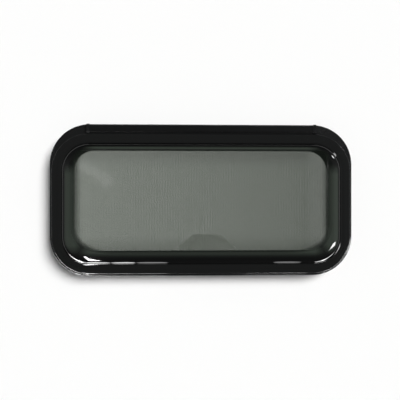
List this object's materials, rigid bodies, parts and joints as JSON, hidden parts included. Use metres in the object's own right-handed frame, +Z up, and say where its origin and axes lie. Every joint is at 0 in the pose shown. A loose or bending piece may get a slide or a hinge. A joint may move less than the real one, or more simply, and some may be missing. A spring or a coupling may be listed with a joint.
{
  "type": "caravan window",
  "caption": "Top-hung double-glazed caravan window with rounded corners, domed smoke-tinted pane, black frame and a room-side trim with a pull-down fly screen.",
  "frame": {"origin": "middle of the window, in the plane of the flange's back face, which lies on the wall's outer skin", "axes": "+X along the width, to the right seen from outside; +Y through the wall into the room; +Z up"},
  "size_m": [0.9, 0.0905, 0.45],
  "materials": {
    "frame_black": "satin black powder coat",
    "seal_rubber": "matte black",
    "hinge_black": "satin black",
    "cap_plastic": "fine grained black",
    "smoke_acrylic": "gloss smoke tint with a black edge",
    "clear_acrylic": "gloss, clear with a light smoke tint",
    "bond_black": "black adhesive",
    "trim_grey": "fine grained dark grey",
    "screen_profile": "black extrusion",
    "screen_mesh": "fine woven grey mesh",
    "screen_rail": "satin black",
    "grip_plastic": "fine grained light grey",
    "latch_plastic": "black moulded",
    "stay_metal": "satin, black anodised"
  },
  "bodies": {
    "root": {"edge_bond": "bond_black", "fly_screen": "screen_mesh", "hinge_cap_left": "cap_plastic", "hinge_cap_right": "cap_plastic", "hinge_leaf": "hinge_black", "hinge_rail": "hinge_black", "inner_pane": "clear_acrylic", "inner_trim": "trim_grey", "latch_base_left": "latch_plastic", "latch_base_right": "latch_plastic", "latch_handle_left": "latch_plastic", "latch_handle_right": "latch_plastic", "latch_keeper_left": "stay_metal", "latch_keeper_right": "stay_metal", "outer_frame": "frame_black", "outer_pane": "smoke_acrylic", "screen_cassette": "screen_profile", "screen_catch": "grip_plastic", "screen_grip": "grip_plastic", "screen_guide_left": "screen_profile", "screen_guide_right": "screen_profile", "screen_pull_rail": "screen_rail", "screen_sill": "screen_profile", "stay_collar_left": "latch_plastic", "stay_collar_right": "latch_plastic", "stay_frame_bracket_left": "stay_metal", "stay_frame_bracket_right": "stay_metal", "stay_rod_left": "stay_metal", "stay_rod_right": "stay_metal", "stay_sash_bracket_left": "latch_plastic", "stay_sash_bracket_right": "latch_plastic", "stay_tube_left": "stay_metal", "stay_tube_right": "stay_metal", "weather_seal": "seal_rubber"}
  },
  "joints": []
}
